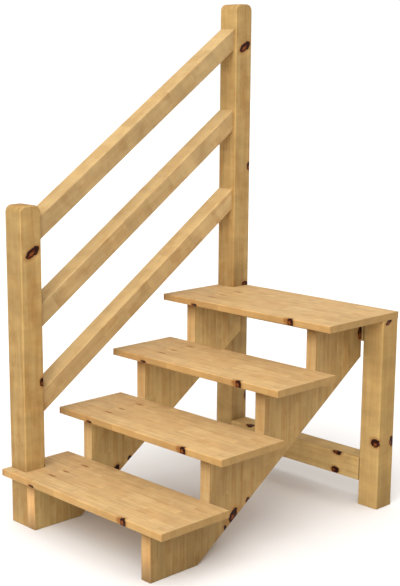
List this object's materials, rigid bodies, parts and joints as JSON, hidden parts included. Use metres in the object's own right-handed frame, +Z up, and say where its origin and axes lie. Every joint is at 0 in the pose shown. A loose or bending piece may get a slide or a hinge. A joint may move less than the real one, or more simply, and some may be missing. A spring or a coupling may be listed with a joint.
{
  "type": "deck stairs",
  "caption": "Free-standing wooden deck stairs with open treads on cut stringers and a sloped three-bar rail between two newel posts on one side.",
  "frame": {"origin": "on the floor at the middle of the footprint", "axes": "+X to the right, away from the railed side; +Y up the flight towards the deck; +Z up"},
  "size_m": [0.85, 1.202, 1.886],
  "materials": {
    "tread": "planed glued spruce panel",
    "post": "planed spruce",
    "rail": "planed spruce",
    "frame": "planed spruce"
  },
  "bodies": {
    "root": {"left_stringer": "frame", "right_stringer": "frame", "tread_1": "tread", "tread_2": "tread", "tread_3": "tread", "tread_4": "tread", "lower_newel": "post", "upper_newel": "post", "right_back_leg": "post", "top_rail": "rail", "middle_rail": "rail", "bottom_rail": "rail", "upper_cross_rail": "frame", "lower_cross_rail": "frame"}
  },
  "joints": []
}
